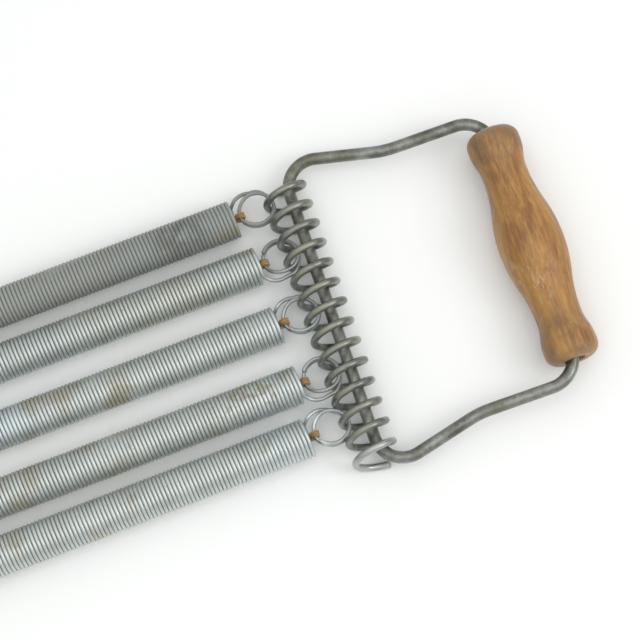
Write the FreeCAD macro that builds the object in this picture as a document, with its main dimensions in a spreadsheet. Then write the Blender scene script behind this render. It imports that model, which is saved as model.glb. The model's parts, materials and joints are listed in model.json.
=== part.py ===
import FreeCAD, Part
import math
import os

import Sketcher

# Chest expander: two bow handles joined by five close-wound steel springs.
#
# Frame of the part: millimetres, origin on the surface it lies on, halfway between the handles.
# +X runs along the springs to the right handle, +Y along the handle bars, +Z up.
# The part looks the same after half a turn about Z, so the left side is the right side turned.

DIMENSIONS = [
    # whole object
    ("bar_reach", 188.1, "from the middle of the object to each handle's bar, along X"),
    ("bar_sideways", 4.5, "each bar's offset along Y, because the slack springs lie askew"),
    # bow: one bent rod
    ("rod_diameter", 5.7, "rod of the bow"),
    ("bar_height", 7.7, "bar axis above the surface: the bar lies low inside its coil"),
    ("grip_reach", 96.8, "bar axis to grip axis, in the plane of the bow"),
    ("corner_radius", 13.3, "bend between bar and side"),
    ("corner_height", 60.8, "centre of that bend from the middle of the bar"),
    ("side_slope", 13.9, "degrees by which the sides close in towards the grip"),
    ("waist_radius", 45.0, "bend where the sides become parallel"),
    ("waist_half", 65.9, "half the distance between the parallel sides"),
    ("grip_bend", 14.0, "bend from the side into the grip"),
    ("rod_gap", 1.0, "between the two rod ends, hidden inside the grip"),
    # turned wooden grip
    ("grip_half", 57.5, "half the grip's length"),
    ("belly_radius", 15.2, "grip at its middle"),
    ("neck_radius", 10.55, "thinnest part of the grip"),
    ("neck_place", 36.0, "neck from the middle of the grip"),
    ("flare_radius", 12.6, "widest part near the end"),
    ("flare_place", 50.0, "where the flare starts to be cylindrical"),
    ("end_rounding", 5.5, "rounding of the grip's ends"),
    ("bore_radius", 2.93, "bore for the rod"),
    ("mouth_radius", 4.8, "countersunk mouth of the bore, at the end face"),
    ("mouth_depth", 6.5, "depth of that countersink"),
    # anchor coil: open coil that the bar runs through and the springs hook on
    ("anchor_wire", 3.4, "wire of the anchor coil"),
    ("anchor_radius", 9.6, "centre line of the anchor coil"),
    ("anchor_pitch", 9.86, "distance between its turns"),
    ("anchor_offset", 2.45, "its axis, from the bar axis towards the springs"),
    ("anchor_first", 62.9, "its first turn on the grip's side, from the middle of the bar"),
    ("anchor_lead", 110.0, "degrees of wire before that turn"),
    ("anchor_tail", 309.0, "degrees of wire after the fourteenth turn"),
    ("anchor_turns", 13.0, "whole turns between the first and the fourteenth"),
    # springs
    ("spring_wire", 1.85, "wire of the springs"),
    ("spring_outer", 18.3, "outside diameter of the springs"),
    ("inner_coil", 329.3, "length of the three inner springs, without their rings"),
    ("outer_coil", 322.5, "length of the two outer springs, which hook on one strand instead of two"),
    ("ring_radius", 8.2, "centre line of the end rings"),
    ("ring_offset", 10.0, "end of the coil to the centre of the end ring"),
    ("ring_roll", -12.0, "degrees by which a ring leans, square to the strand it hooks on"),
    ("lead_bow", 9.9, "how far the wire bows out where it leaves the coil for the ring"),
    ("lead_crest", 6.0, "end of the coil to where the wire bows out most"),
    ("lead_join", 70.0, "degrees round the ring, from its far side, where the wire closes into it"),
    ("second_height", 1.8, "the ring's second pass lies on the first, this far above it"),
    ("second_from", -150.0, "degrees round the ring where the second pass is cut off, near the knot"),
    ("second_sweep", 238.0, "degrees of the second pass"),
    ("spring_height", 9.2, "spring axis above the surface"),
    # safety cords inside the springs
    ("cord_diameter", 2.4, "cord where it runs straight"),
    ("cord_bundle", 12.4, "outside diameter of the cord's loose coil inside the spring"),
    ("cord_straight", 9.0, "straight stretch of cord at each end of the spring"),
    ("knot_radius", 2.4, "knot round the end ring"),
    ("knot_place", 2.6, "centre of the knot from the end of the spring"),
    ("knot_gap", 0.03, "between the knot and the wire of the ring that it is tied round"),
]

# Where each spring's right ring sits along the right bar, from the middle of the bar.
# Its left ring sits along the left bar where the spring on the other side has its right one.
RING_PLACES = (58.2, 33.0, 3.4, -26.2, -50.7)
OUTER_SPRINGS = (1, 5)
# These lie rolled by half a turn, so their wire leaves the coil on the other side
ROLLED_SPRINGS = (2, 4)

Z_AXIS = FreeCAD.Vector(0, 0, 1)
Y_AXIS = FreeCAD.Vector(0, 1, 0)
X_AXIS = FreeCAD.Vector(1, 0, 0)

doc = FreeCAD.newDocument("chest_expander")
sheet = doc.addObject("Spreadsheet::Sheet", "sizes")
for row, (alias, value, note) in enumerate(DIMENSIONS, start=1):
    sheet.set(f"A{row}", alias)
    sheet.set(f"B{row}", str(value))
    sheet.set(f"C{row}", note)
    sheet.setAlias(f"B{row}", alias)
doc.recompute()


def size(alias):
    return float(sheet.get(alias))


def half_turn(placement):
    """The same place on the left side of the object."""
    return FreeCAD.Placement(FreeCAD.Vector(), FreeCAD.Rotation(Z_AXIS, 180)).multiply(placement)


def new_body(label):
    body = doc.addObject("PartDesign::Body", label)
    body.Label = label
    return body


def origin_feature(body, role):
    return next(f for f in body.Origin.OriginFeatures if f.Role == role)


def new_sketch(body, name, plane):
    sketch = body.newObject("Sketcher::SketchObject", name)
    sketch.AttachmentSupport = (origin_feature(body, plane), [""])
    sketch.MapMode = "FlatFace"
    return sketch


def bind(sketch, kind, where, value, name, formula):
    """Adds a dimension to a sketch and ties it to the sheet."""
    index = sketch.addConstraint(Sketcher.Constraint(kind, *where, value))
    sketch.renameConstraint(index, name)
    sketch.setExpression(f"Constraints.{name}", formula)


# Positions on a sketch edge, as Sketcher counts them
START, END, CENTRE = 1, 2, 3
ORIGIN = (-1, 1)


def vec(x, y, z=0.0):
    return FreeCAD.Vector(x, y, z)


def arc_between(centre, radius, first, last):
    """Arc that runs counter-clockwise from first to last, in degrees."""
    circle = Part.Circle(centre, Z_AXIS, radius)
    return Part.ArcOfCircle(circle, math.radians(first), math.radians(last))


# ---------------------------------------------------------------- bow


def bow_path(body):
    """Half of the rod's centre line: from the middle of the bar round to the middle of the grip."""
    corner, waist, bend = size("corner_radius"), size("waist_radius"), size("grip_bend")
    corner_y, waist_y, reach = size("corner_height"), size("waist_half"), size("grip_reach")
    slope = math.radians(size("side_slope"))
    leave = vec(corner * (1 + math.sin(slope)), corner_y + corner * math.cos(slope))
    waist_x = leave.x + (leave.y - waist_y) / math.tan(slope)
    tangent = waist * math.tan(slope / 2)
    waist_start = vec(waist_x - tangent * math.cos(slope), waist_y + tangent * math.sin(slope))
    waist_end = vec(waist_x + tangent, waist_y)
    slope_degrees = size("side_slope")

    path = new_sketch(body, "rod_path", "XY_Plane")
    bar, corner_arc, side, waist_arc, parallel, grip_arc, inside = range(7)
    path.addGeometry(Part.LineSegment(vec(0, 0), vec(0, corner_y)))
    path.addGeometry(arc_between(vec(corner, corner_y), corner, 90 - slope_degrees, 180))
    path.addGeometry(Part.LineSegment(leave, waist_start))
    path.addGeometry(arc_between(vec(waist_end.x, waist_y + waist), waist, 270 - slope_degrees, 270))
    path.addGeometry(Part.LineSegment(waist_end, vec(reach - bend, waist_y)))
    path.addGeometry(arc_between(vec(reach - bend, waist_y - bend), bend, 0, 90))
    path.addGeometry(Part.LineSegment(vec(reach, waist_y - bend), vec(reach, size("rod_gap") / 2)))

    path.addConstraint(Sketcher.Constraint("Coincident", bar, START, *ORIGIN))
    path.addConstraint(Sketcher.Constraint("Vertical", bar))
    for first, first_end, second, second_end in (
        (bar, END, corner_arc, END),
        (corner_arc, START, side, START),
        (side, END, waist_arc, START),
        (waist_arc, END, parallel, START),
        (parallel, END, grip_arc, END),
        (grip_arc, START, inside, START),
    ):
        path.addConstraint(Sketcher.Constraint("Tangent", first, first_end, second, second_end))
    path.addConstraint(Sketcher.Constraint("Horizontal", parallel))
    path.addConstraint(Sketcher.Constraint("Vertical", inside))
    bind(path, "Radius", (corner_arc,), corner, "corner", "sizes.corner_radius")
    bind(path, "Radius", (waist_arc,), waist, "waist", "sizes.waist_radius")
    bind(path, "Radius", (grip_arc,), bend, "bend", "sizes.grip_bend")
    bind(path, "DistanceY", (*ORIGIN, corner_arc, CENTRE), corner_y, "corner_place", "sizes.corner_height")
    bind(path, "DistanceY", (*ORIGIN, parallel, START), waist_y, "waist_place", "sizes.waist_half")
    bind(path, "DistanceX", (*ORIGIN, inside, START), reach, "reach", "sizes.grip_reach")
    bind(path, "DistanceY", (*ORIGIN, inside, END), size("rod_gap") / 2, "gap", "sizes.rod_gap / 2")
    bind(path, "Angle", (side,), -slope, "slope", "-sizes.side_slope * 1 deg")
    return path


def make_bow(label, placement):
    body = new_body(label)
    path = bow_path(body)
    section = new_sketch(body, "rod_section", "XZ_Plane")
    section.addGeometry(Part.Circle(vec(0, 0), Z_AXIS, size("rod_diameter") / 2))
    section.addConstraint(Sketcher.Constraint("Coincident", 0, CENTRE, *ORIGIN))
    bind(section, "Radius", (0,), size("rod_diameter") / 2, "rod", "sizes.rod_diameter / 2")
    half = body.newObject("PartDesign::AdditivePipe", "half_bow")
    half.Profile = section
    half.Spine = path
    doc.recompute()
    whole = body.newObject("PartDesign::Mirrored", "whole_bow")
    whole.Originals = [half]
    whole.MirrorPlane = (origin_feature(body, "XZ_Plane"), [""])
    body.Tip = whole
    body.Placement = placement
    return body


# ---------------------------------------------------------------- grip


def joining_radius(along, across):
    """Radius of the two equal arcs of an S curve that starts and ends level."""
    return (along**2 + across**2) / (4 * across)


def grip_profile(body):
    """Half of the turned outline, from the belly to the end, closed along the bore."""
    half, bore, mouth = size("grip_half"), size("bore_radius"), size("mouth_radius")
    belly, neck, flare = size("belly_radius"), size("neck_radius"), size("flare_radius")
    neck_x, flare_x, rounding = size("neck_place"), size("flare_place"), size("end_rounding")
    belly_arc = joining_radius(neck_x, belly - neck)
    flare_arc = joining_radius(flare_x - neck_x, flare - neck)
    belly_turn = math.degrees(math.asin(neck_x / 2 / belly_arc))
    flare_turn = math.degrees(math.asin((flare_x - neck_x) / 2 / flare_arc))
    shoulder = half - rounding
    mouth_x = half - size("mouth_depth")

    sketch = new_sketch(body, "turned_outline", "XY_Plane")
    corners = [
        vec(shoulder + rounding, flare - rounding),
        vec(half, mouth),
        vec(mouth_x, bore),
        vec(0, bore),
        vec(0, belly),
    ]
    sketch.addGeometry(arc_between(vec(0, belly - belly_arc), belly_arc, 90 - belly_turn, 90))
    sketch.addGeometry(arc_between(vec(neck_x, neck + belly_arc), belly_arc, 270 - belly_turn, 270))
    sketch.addGeometry(arc_between(vec(neck_x, neck + flare_arc), flare_arc, 270, 270 + flare_turn))
    sketch.addGeometry(arc_between(vec(flare_x, flare - flare_arc), flare_arc, 90, 90 + flare_turn))
    sketch.addGeometry(Part.LineSegment(vec(flare_x, flare), vec(shoulder, flare)))
    sketch.addGeometry(arc_between(vec(shoulder, flare - rounding), rounding, 0, 90))
    for first, second in zip(corners, corners[1:]):
        sketch.addGeometry(Part.LineSegment(first, second))
    belly_a, neck_a, neck_b, flare_a, land, round_a, face, cone, wall, middle = range(10)

    for first, first_end, second, second_end in (
        (belly_a, START, neck_a, START),
        (neck_a, END, neck_b, START),
        (neck_b, END, flare_a, END),
        (flare_a, START, land, START),
        (land, END, round_a, END),
    ):
        sketch.addConstraint(Sketcher.Constraint("Tangent", first, first_end, second, second_end))
    for first, first_end, second, second_end in (
        (round_a, START, face, START),
        (face, END, cone, START),
        (cone, END, wall, START),
        (wall, END, middle, START),
        (middle, END, belly_a, END),
    ):
        sketch.addConstraint(Sketcher.Constraint("Coincident", first, first_end, second, second_end))
    sketch.addConstraint(Sketcher.Constraint("Horizontal", land))
    sketch.addConstraint(Sketcher.Constraint("Vertical", face))
    sketch.addConstraint(Sketcher.Constraint("Horizontal", wall))
    sketch.addConstraint(Sketcher.Constraint("PointOnObject", wall, END, -2))
    sketch.addConstraint(Sketcher.Constraint("PointOnObject", belly_a, END, -2))
    sketch.addConstraint(Sketcher.Constraint("PointOnObject", belly_a, CENTRE, -2))
    sketch.addConstraint(Sketcher.Constraint("Equal", belly_a, neck_a))
    sketch.addConstraint(Sketcher.Constraint("Equal", neck_b, flare_a))
    sketch.addConstraint(Sketcher.Constraint("Vertical", neck_a, CENTRE, neck_a, END))
    sketch.addConstraint(Sketcher.Constraint("Horizontal", round_a, CENTRE, round_a, START))
    bind(sketch, "DistanceY", (*ORIGIN, belly_a, END), belly, "belly", "sizes.belly_radius")
    bind(sketch, "DistanceY", (*ORIGIN, neck_a, END), neck, "neck", "sizes.neck_radius")
    bind(sketch, "DistanceX", (*ORIGIN, neck_a, END), neck_x, "neck_place", "sizes.neck_place")
    bind(sketch, "DistanceY", (*ORIGIN, land, START), flare, "flare", "sizes.flare_radius")
    bind(sketch, "DistanceX", (*ORIGIN, land, START), flare_x, "flare_place", "sizes.flare_place")
    bind(sketch, "Radius", (round_a,), rounding, "rounding", "sizes.end_rounding")
    bind(sketch, "DistanceX", (*ORIGIN, face, START), half, "half_length", "sizes.grip_half")
    bind(sketch, "DistanceY", (*ORIGIN, face, END), mouth, "mouth", "sizes.mouth_radius")
    bind(sketch, "DistanceY", (*ORIGIN, wall, END), bore, "bore", "sizes.bore_radius")
    start_formula = "sizes.grip_half - sizes.mouth_depth"
    bind(sketch, "DistanceX", (*ORIGIN, cone, END), mouth_x, "mouth_start", start_formula)
    return sketch


def make_grip(label, placement):
    """Turned wooden grip, its axis along its own X."""
    body = new_body(label)
    half = body.newObject("PartDesign::Revolution", "half_grip")
    half.Profile = grip_profile(body)
    half.ReferenceAxis = (origin_feature(body, "X_Axis"), [""])
    half.Angle = 360
    doc.recompute()
    whole = body.newObject("PartDesign::Mirrored", "whole_grip")
    whole.Originals = [half]
    whole.MirrorPlane = (origin_feature(body, "YZ_Plane"), [""])
    body.Tip = whole
    body.Placement = placement
    return body


# ---------------------------------------------------------------- anchor coil


def make_anchor(label, placement):
    """Open right-handed coil. Its helix starts at its own +X and climbs its own Z."""
    turns = "(sizes.anchor_turns + (sizes.anchor_lead + sizes.anchor_tail) / 360)"
    helix = doc.addObject("Part::Helix", label + "_line")
    helix.setExpression("Pitch", "sizes.anchor_pitch")
    helix.setExpression("Height", f"sizes.anchor_pitch * {turns}")
    helix.setExpression("Radius", "sizes.anchor_radius")
    helix.SegmentLength = 0
    section = doc.addObject("Part::Circle", label + "_section")
    section.setExpression("Radius", "sizes.anchor_wire / 2")
    climb = math.degrees(math.atan2(size("anchor_pitch"), 2 * math.pi * size("anchor_radius")))
    section.Placement = FreeCAD.Placement(
        vec(size("anchor_radius"), 0), FreeCAD.Rotation(X_AXIS, climb - 90)
    )
    coil = doc.addObject("Part::Sweep", label)
    coil.Label = label
    coil.Sections = [section]
    coil.Spine = helix
    coil.Solid = True
    coil.Frenet = True
    coil.Placement = placement
    return coil


# ---------------------------------------------------------------- springs


def axial_cylinder(name, radius_formula, half_length_formula):
    """Cylinder along X, centred on the origin."""
    piece = doc.addObject("Part::Cylinder", name)
    piece.setExpression("Radius", radius_formula)
    piece.setExpression("Height", f"2 * ({half_length_formula})")
    piece.Placement = FreeCAD.Placement(vec(0, 0), FreeCAD.Rotation(Y_AXIS, 90))
    piece.setExpression("Placement.Base.x", f"-({half_length_formula})")
    return piece


def coil_tube(label, length_formula):
    """The close-wound turns touch, so they are one tube as thick as the wire."""
    half = f"{length_formula} / 2"
    tube = doc.addObject("Part::Cut", label + "_coil")
    tube.Base = axial_cylinder(label + "_outside", "sizes.spring_outer / 2", half)
    through = f"{half} + sizes.spring_wire"
    tube.Tool = axial_cylinder(label + "_bore", "sizes.spring_outer / 2 - sizes.spring_wire", through)
    return tube


def end_wire(label, length, roll):
    """End ring wound nearly twice, with the wire that bows out from the coil's edge and closes into it."""
    wire, ring_radius = size("spring_wire"), size("ring_radius")
    centre = length / 2 + size("ring_offset")
    start = vec(length / 2 - wire / 2, (size("spring_outer") - wire) / 2)
    crest = vec(length / 2 + size("lead_crest"), size("lead_bow"))
    joins = math.radians(size("lead_join"))
    finish = vec(centre + ring_radius * math.cos(joins), ring_radius * math.sin(joins))

    path = doc.addObject("Sketcher::SketchObject", label + "_lead_path")
    path.addGeometry(Part.Arc(start, crest, finish))
    section = doc.addObject("Part::Circle", label + "_lead_section")
    section.setExpression("Radius", "sizes.spring_wire / 2")
    section.Placement = FreeCAD.Placement(start, FreeCAD.Rotation(Y_AXIS, 90))
    lead = doc.addObject("Part::Sweep", label + "_lead")
    lead.Sections = [section]
    lead.Spine = path
    lead.Solid = True
    ring = doc.addObject("Part::Torus", label + "_ring")
    ring.setExpression("Radius1", "sizes.ring_radius")
    ring.setExpression("Radius2", "sizes.spring_wire / 2")
    ring.Placement = FreeCAD.Placement(vec(centre, 0), FreeCAD.Rotation())
    second = doc.addObject("Part::Torus", label + "_ring_second_pass")
    second.setExpression("Radius1", "sizes.ring_radius")
    second.setExpression("Radius2", "sizes.spring_wire / 2")
    second.setExpression("Angle3", "sizes.second_sweep")
    upwards = math.copysign(size("second_height"), math.cos(math.radians(roll)))
    turned = FreeCAD.Rotation(Z_AXIS, size("second_from"))
    second.Placement = FreeCAD.Placement(vec(centre, 0, upwards), turned)
    wire_shape = doc.addObject("Part::MultiFuse", label + "_wire")
    wire_shape.Shapes = [lead, ring, second]
    wire_shape.Placement = FreeCAD.Placement(vec(0, 0), FreeCAD.Rotation(X_AXIS, roll))
    return wire_shape


def make_spring(label, length_alias, roll, placement):
    """Close-wound spring along its own X, with a wire ring at each end."""
    right_wire = end_wire(label + "_right", size(length_alias), roll)
    left_wire = end_wire(label + "_left", size(length_alias), roll)
    left_wire.Placement = half_turn(left_wire.Placement)
    spring = doc.addObject("Part::MultiFuse", label)
    spring.Label = label
    spring.Shapes = [coil_tube(label, "sizes." + length_alias), right_wire, left_wire]
    spring.Placement = placement
    return spring


# ---------------------------------------------------------------- safety cords


def make_cord(label, length_alias, roll, placement):
    """Cord inside a spring: loosely coiled, straight near both ends, knotted round both end rings."""
    half = size(length_alias) / 2
    knot_x = half + size("knot_place")
    half_formula = f"sizes.{length_alias} / 2"
    bundle_half = f"{half_formula} - sizes.cord_straight"
    whole_half = f"{half_formula} + sizes.knot_place"
    pieces = [
        axial_cylinder(label + "_bundle", "sizes.cord_bundle / 2", bundle_half),
        axial_cylinder(label + "_straight", "sizes.cord_diameter / 2", whole_half),
    ]
    rings = []
    for side, turn in (("right", 0), ("left", 180)):
        knot = doc.addObject("Part::Sphere", f"{label}_{side}_knot")
        knot.setExpression("Radius", "sizes.knot_radius")
        knot.Placement = FreeCAD.Placement(vec(knot_x if turn == 0 else -knot_x, 0), FreeCAD.Rotation())
        pieces.append(knot)
        ring = doc.addObject("Part::Torus", f"{label}_{side}_ring_hole")
        ring.setExpression("Radius1", "sizes.ring_radius")
        ring.setExpression("Radius2", "sizes.spring_wire / 2 + sizes.knot_gap")
        roll_in_place = FreeCAD.Placement(
            vec(half + size("ring_offset"), 0), FreeCAD.Rotation(X_AXIS, roll)
        )
        turned = FreeCAD.Placement(vec(0, 0), FreeCAD.Rotation(Z_AXIS, turn))
        ring.Placement = turned.multiply(roll_in_place)
        rings.append(ring)
    solid = doc.addObject("Part::MultiFuse", label + "_solid")
    solid.Shapes = pieces
    holes = doc.addObject("Part::MultiFuse", label + "_holes")
    holes.Shapes = rings
    cord = doc.addObject("Part::Cut", label)
    cord.Label = label
    cord.Base = solid
    cord.Tool = holes
    cord.Placement = placement
    return cord


# ---------------------------------------------------------------- assembly

tilt = math.degrees(math.asin((size("belly_radius") - size("bar_height")) / size("grip_reach")))
bar_place = FreeCAD.Placement(
    vec(size("bar_reach"), size("bar_sideways"), size("bar_height")), FreeCAD.Rotation(Y_AXIS, -tilt)
)
grip_in_bow = FreeCAD.Placement(vec(size("grip_reach"), 0), FreeCAD.Rotation(Z_AXIS, 90))
grip_place = bar_place.multiply(grip_in_bow)

# The helix climbs towards -Y, and starts anchor_lead degrees before its own +X side faces the grip
before_first = size("anchor_lead") / 360 * size("anchor_pitch")
anchor_height = size("anchor_radius") + size("anchor_wire") / 2
anchor_place = FreeCAD.Placement(
    vec(
        size("bar_reach") - size("anchor_offset"),
        size("bar_sideways") + size("anchor_first") + before_first,
        anchor_height,
    ),
    FreeCAD.Rotation(X_AXIS, 90).multiply(FreeCAD.Rotation(Z_AXIS, -size("anchor_lead"))),
)

sub_parts = [
    make_bow("right_bow", bar_place),
    make_bow("left_bow", half_turn(bar_place)),
    make_grip("right_grip", grip_place),
    make_grip("left_grip", half_turn(grip_place)),
    make_anchor("right_anchor_coil", anchor_place),
    make_anchor("left_anchor_coil", half_turn(anchor_place)),
]

for number, right_place in enumerate(RING_PLACES, start=1):
    left_place = RING_PLACES[len(RING_PLACES) - number]
    rise = 2 * size("bar_sideways") + right_place + left_place
    length_alias = "outer_coil" if number in OUTER_SPRINGS else "inner_coil"
    span = size(length_alias) + 2 * size("ring_offset")
    place = FreeCAD.Placement(
        vec(0, (right_place - left_place) / 2, size("spring_height")),
        FreeCAD.Rotation(Z_AXIS, math.degrees(math.asin(rise / span))),
    )
    roll = size("ring_roll") + (180 if number in ROLLED_SPRINGS else 0)
    sub_parts.append(make_spring(f"spring_{number}", length_alias, roll, place))
    sub_parts.append(make_cord(f"safety_cord_{number}", length_alias, roll, place))

doc.recompute()

for item in doc.Objects:
    if "Invalid" in item.State or "Error" in item.State:
        raise RuntimeError(f"{item.Label} failed: {item.State}")
for item in sub_parts:
    shape = item.Shape
    if shape.isNull() or not shape.isValid() or len(shape.Solids) != 1:
        raise RuntimeError(f"{item.Label} is not one valid solid")

os.makedirs("parts", exist_ok=True)
for item in sub_parts:
    item.Shape.exportStep(f"parts/{item.Label}.step")
    print(f"{item.Label}: volume {item.Shape.Volume:.0f} mm3")
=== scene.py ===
import json
import math

import bpy
import numpy as np
from mathutils import Matrix, Vector


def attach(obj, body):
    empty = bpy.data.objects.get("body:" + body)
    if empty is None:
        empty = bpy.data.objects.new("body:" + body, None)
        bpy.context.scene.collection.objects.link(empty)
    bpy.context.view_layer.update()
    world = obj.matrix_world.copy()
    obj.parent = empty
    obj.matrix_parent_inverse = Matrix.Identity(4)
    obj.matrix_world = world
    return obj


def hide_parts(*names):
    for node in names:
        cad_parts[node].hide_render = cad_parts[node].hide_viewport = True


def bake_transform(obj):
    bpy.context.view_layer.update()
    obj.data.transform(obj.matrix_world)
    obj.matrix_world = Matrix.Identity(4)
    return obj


# Chest expander. Lengths are written in millimetres and turned into metres when a mesh is made.
# The frame is the CAD model's: +X along the springs to the right handle, +Y along the bars, +Z up.
# The left side is the right side after half a turn about Z.

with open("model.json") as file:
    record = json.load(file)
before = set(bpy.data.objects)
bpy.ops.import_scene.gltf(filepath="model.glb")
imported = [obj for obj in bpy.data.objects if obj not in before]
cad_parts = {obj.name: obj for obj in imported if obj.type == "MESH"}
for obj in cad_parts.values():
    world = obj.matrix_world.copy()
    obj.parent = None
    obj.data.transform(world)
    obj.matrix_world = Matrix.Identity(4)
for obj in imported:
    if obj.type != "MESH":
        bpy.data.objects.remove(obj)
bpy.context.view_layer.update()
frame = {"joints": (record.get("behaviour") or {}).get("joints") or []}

MM = 0.001
JOINTS = {joint["name"]: joint for joint in frame["joints"]}
BAR = np.array(JOINTS["right_fold"]["pos_m"]) / MM
GRIP = np.array(JOINTS["right_grip_spin"]["pos_m"]) / MM
HALF_TURN = np.array((-1.0, -1.0, 1.0))
SIDES = ("right", "left")


# ---------------------------------------------------------------- camera, floor and light

CAMERA_TARGET = (182.7, 5.9, 0.0)
CAMERA_DISTANCE = 964.2
CAMERA_FROM_ABOVE = 15.26
CAMERA_HEADING = -103.2
PICTURE_TOP_HEADING = 71.51
CAMERA_LENS = 117.6
SENSOR = 36.0
HORIZON_BRIGHTNESS, SKY_BRIGHTNESS = 0.3, 0.88
# Upward part of a direction, from 0 at the horizon to 1 overhead, from which the sky has its full brightness
SKY_FROM = 0.55
LAMP_POWER = 9
NEUTRAL_WHITE, WARM_WHITE = (1.0, 1.0, 1.0), (1.0, 0.99, 0.97)
FLOOR_HALF = 6.0
FLOOR_COLOUR = (0.905, 0.92, 0.91)
FLOOR_ROUGHNESS = 0.75


def heading(degrees):
    """Level direction at that angle from +X."""
    return Vector((math.cos(math.radians(degrees)), math.sin(math.radians(degrees)), 0))


def camera_axes():
    """The picture's right, the picture's top, and the way back to the camera."""
    lean = math.radians(CAMERA_FROM_ABOVE)
    back = heading(CAMERA_HEADING) * math.sin(lean) + Vector((0, 0, math.cos(lean)))
    right = heading(PICTURE_TOP_HEADING).cross(back).normalized()
    return right, back.cross(right), back


def make_camera():
    right, top, back = camera_axes()
    data = bpy.data.cameras.new("camera")
    data.sensor_width = SENSOR
    data.lens = CAMERA_LENS
    data.clip_start = 0.01
    camera = bpy.data.objects.new("camera", data)
    place = Matrix((right, top, back)).transposed().to_4x4()
    place.translation = (Vector(CAMERA_TARGET) + back * CAMERA_DISTANCE) * MM
    camera.matrix_world = place
    bpy.context.scene.collection.objects.link(camera)
    bpy.context.scene.camera = camera


def area_light(name, towards, distance, width, colour):
    """Square lamp at that distance in metres from the camera's target, facing it."""
    data = bpy.data.lights.new(name, "AREA")
    data.size = width
    data.energy = LAMP_POWER
    data.color = colour
    lamp = bpy.data.objects.new(name, data)
    towards = Vector(towards).normalized()
    lamp.location = Vector(CAMERA_TARGET) * MM + towards * distance
    lamp.rotation_mode = "QUATERNION"
    lamp.rotation_quaternion = towards.to_track_quat("Z", "Y")
    bpy.context.scene.collection.objects.link(lamp)


def make_surroundings():
    """A studio that is evenly bright overhead and darker towards the horizon."""
    world = bpy.data.worlds.new("studio")
    world.use_nodes = True
    tree = world.node_tree
    direction = tree.nodes.new("ShaderNodeTexCoord").outputs["Generated"]
    height = tree.nodes.new("ShaderNodeSeparateXYZ")
    tree.links.new(direction, height.inputs["Vector"])
    strength = tree.nodes.new("ShaderNodeMapRange")
    strength.interpolation_type = "SMOOTHSTEP"
    tree.links.new(height.outputs["Z"], strength.inputs["Value"])
    for name, value in (
        ("From Min", 0.0),
        ("From Max", SKY_FROM),
        ("To Min", HORIZON_BRIGHTNESS),
        ("To Max", SKY_BRIGHTNESS),
    ):
        strength.inputs[name].default_value = value
    tree.links.new(strength.outputs["Result"], tree.nodes["Background"].inputs["Strength"])
    tree.nodes["Background"].inputs["Color"].default_value = (*NEUTRAL_WHITE, 1.0)
    bpy.context.scene.world = world


def make_light():
    """A soft lamp on the right and a wide one overhead."""
    right, top, _ = camera_axes()
    up = Vector((0, 0, 1))
    beside = right * 0.9 - top * 0.15 + up * 0.9
    overhead = up - top * 0.1
    area_light("key_light", beside, distance=2.0, width=1.0, colour=WARM_WHITE)
    area_light("overhead_light", overhead, distance=2.2, width=2.0, colour=NEUTRAL_WHITE)
    bpy.context.scene.view_settings.view_transform = "Standard"


def make_floor():
    """White surface that the object lies on."""
    corners = [(x * FLOOR_HALF, y * FLOOR_HALF, 0) for x, y in ((-1, -1), (1, -1), (1, 1), (-1, 1))]
    mesh = bpy.data.meshes.new("floor")
    mesh.from_pydata(corners, [], [(0, 1, 2, 3)])
    material = bpy.data.materials.new("floor")
    material.use_nodes = True
    surface = material.node_tree.nodes["Principled BSDF"]
    surface.inputs["Base Color"].default_value = (*FLOOR_COLOUR, 1.0)
    surface.inputs["Roughness"].default_value = FLOOR_ROUGHNESS
    mesh.materials.append(material)
    floor = bpy.data.objects.new("floor", mesh)
    bpy.context.scene.collection.objects.link(floor)


# ---------------------------------------------------------------- shader building


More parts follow.
